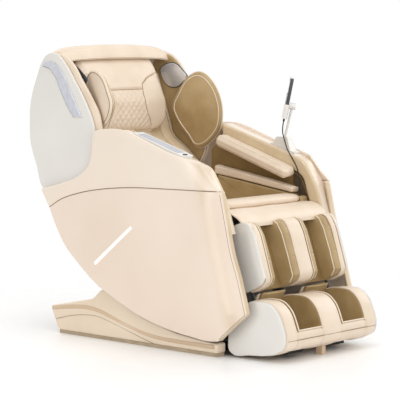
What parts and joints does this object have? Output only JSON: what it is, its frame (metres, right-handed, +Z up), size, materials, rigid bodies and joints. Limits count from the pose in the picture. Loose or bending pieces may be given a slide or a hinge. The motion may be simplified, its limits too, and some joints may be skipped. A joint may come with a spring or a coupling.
{
  "type": "massage chair",
  "caption": "Reclining massage chair with a sliding seat, padded arm channels, shoulder wings, lifting calf rest and foot wells, on a low wide base.",
  "frame": {"origin": "on the floor, under the middle of the whole chair", "axes": "+Z up, -Y the way the sitter faces, +X to the sitter's left"},
  "size_m": [0.764, 1.4236, 1.256],
  "materials": {
    "pearl_panel": "pearl gloss",
    "white_shell": "gloss",
    "silver_trim": "satin silver",
    "base_plastic": "gloss",
    "black_rubber": "matte",
    "cream_leather": "soft grain",
    "tan_leather": "soft grain",
    "frame_steel": "satin",
    "bright_steel": "brushed",
    "dark_plastic": "matte",
    "grey_plastic": "matte",
    "screen": "gloss",
    "light_bar": "diffusing"
  },
  "bodies": {
    "base": {"base_frame": "frame_steel", "base_covers": "base_plastic", "base_rear_cover": "base_plastic", "floor_strips": "black_rubber", "slide_drive": "dark_plastic", "power_inlet": "dark_plastic"},
    "rocker": {"power_switch": "dark_plastic"},
    "wheels": {"transport_wheels": "dark_plastic"},
    "carriage": {"seat_frame": "frame_steel", "slide_screw": "bright_steel", "side_panels_lower": "pearl_panel", "side_panels_upper": "pearl_panel", "side_lights": "light_bar", "arm_rails": "cream_leather", "arm_inner_walls": "tan_leather", "arm_upper_pads": "cream_leather", "arm_lower_pads": "cream_leather", "seat_cushion": "cream_leather", "seat_front_roll": "cream_leather", "rear_lower_cover": "base_plastic", "hinge_gearboxes": "dark_plastic", "air_pump": "grey_plastic", "control_box": "grey_plastic", "control_panel": "silver_trim", "control_screen": "screen", "holder_post": "bright_steel", "handset_cradle": "grey_plastic", "cord_gland": "black_rubber", "handset_cord": "black_rubber"},
    "key": {"panel_key": "dark_plastic"},
    "knob": {"holder_knob": "dark_plastic"},
    "remote": {"handset": "dark_plastic"},
    "backrest": {"back_frame": "frame_steel", "rear_cover": "white_shell", "back_side_shells": "white_shell", "accent_strips": "silver_trim", "wall_pads": "cream_leather", "hood": "cream_leather", "speakers": "silver_trim", "shoulder_wings": "tan_leather", "back_cushion": "cream_leather", "head_pad": "cream_leather", "roller_rails": "bright_steel"},
    "roller_unit": {"roller_carriage": "dark_plastic"},
    "yoke": {"roller_yoke": "bright_steel"},
    "rollers_above": {"upper_rollers": "dark_plastic"},
    "rollers_below": {"lower_rollers": "dark_plastic"},
    "calf_rest": {"calf_frame": "frame_steel", "calf_side_covers": "white_shell", "calf_bolsters": "cream_leather", "calf_channel_pads": "tan_leather", "calf_divider": "cream_leather"},
    "foot_rest": {"foot_body": "cream_leather", "foot_side_covers": "white_shell", "foot_heel_pads": "tan_leather", "foot_sole_pads": "tan_leather", "foot_tubes": "bright_steel", "foot_glides": "black_rubber", "foot_stand": "base_plastic"},
    "sole_rollers": {"foot_rollers": "dark_plastic"}
  },
  "joints": [
    {"name": "seat_slide", "type": "slide", "parent": "base", "child": "carriage", "axis": [0, -1, 0], "range_m": [0, 0.15]},
    {"name": "power_rocker", "type": "hinge", "parent": "base", "child": "rocker", "pos_m": [0.012, 0.578, 0.08], "axis": [1, 0, 0], "range_deg": [0, 16]},
    {"name": "wheel_spin", "type": "hinge", "parent": "base", "child": "wheels", "pos_m": [0, 0.562, 0.027], "axis": [1, 0, 0], "continuous": true},
    {"name": "key_press", "type": "slide", "parent": "carriage", "child": "key", "axis": [0, 0.2908, -0.9568], "range_m": [0, 0.0015], "stiffness_N_per_m": 400},
    {"name": "clamp_knob_turn", "type": "hinge", "parent": "carriage", "child": "knob", "pos_m": [0.33, -0.21862, 0.99132], "axis": [0.6568, -0.7295, -0.1908], "range_deg": [-120, 120]},
    {"name": "handset_lift", "type": "slide", "parent": "carriage", "child": "remote", "axis": [0.1277, -0.1418, 0.9816], "range_m": [0, 0.045]},
    {"name": "recline", "type": "hinge", "parent": "carriage", "child": "backrest", "pos_m": [0, 0.2, 0.6], "axis": [-1, 0, 0], "range_deg": [0, 40]},
    {"name": "roller_climb", "type": "slide", "parent": "backrest", "child": "roller_unit", "axis": [0, 0.342, 0.9397], "range_m": [0, 0.16]},
    {"name": "yoke_rock", "type": "hinge", "parent": "roller_unit", "child": "yoke", "pos_m": [0, 0.53393, 0.82127], "axis": [1, 0, 0], "range_deg": [-6, 6]},
    {"name": "upper_roller_spin", "type": "hinge", "parent": "yoke", "child": "rollers_above", "pos_m": [0, 0.53207, 0.86877], "axis": [1, 0, 0], "continuous": true},
    {"name": "lower_roller_spin", "type": "hinge", "parent": "yoke", "child": "rollers_below", "pos_m": [0, 0.50197, 0.78608], "axis": [1, 0, 0], "continuous": true},
    {"name": "calf_lift", "type": "hinge", "parent": "carriage", "child": "calf_rest", "pos_m": [0, -0.365, 0.553], "axis": [-1, 0, 0], "range_deg": [0, 65]},
    {"name": "foot_extend", "type": "slide", "parent": "calf_rest", "child": "foot_rest", "axis": [0, -0.342, -0.9397], "range_m": [0, 0.114]},
    {"name": "sole_roller_spin", "type": "hinge", "parent": "foot_rest", "child": "sole_rollers", "pos_m": [0, -0.56, 0.084], "axis": [1, 0, 0], "continuous": true}
  ],
  "couplings": [
    {"joint": "foot_extend", "follows": "calf_lift", "m_per_rad": 0.1}
  ]
}
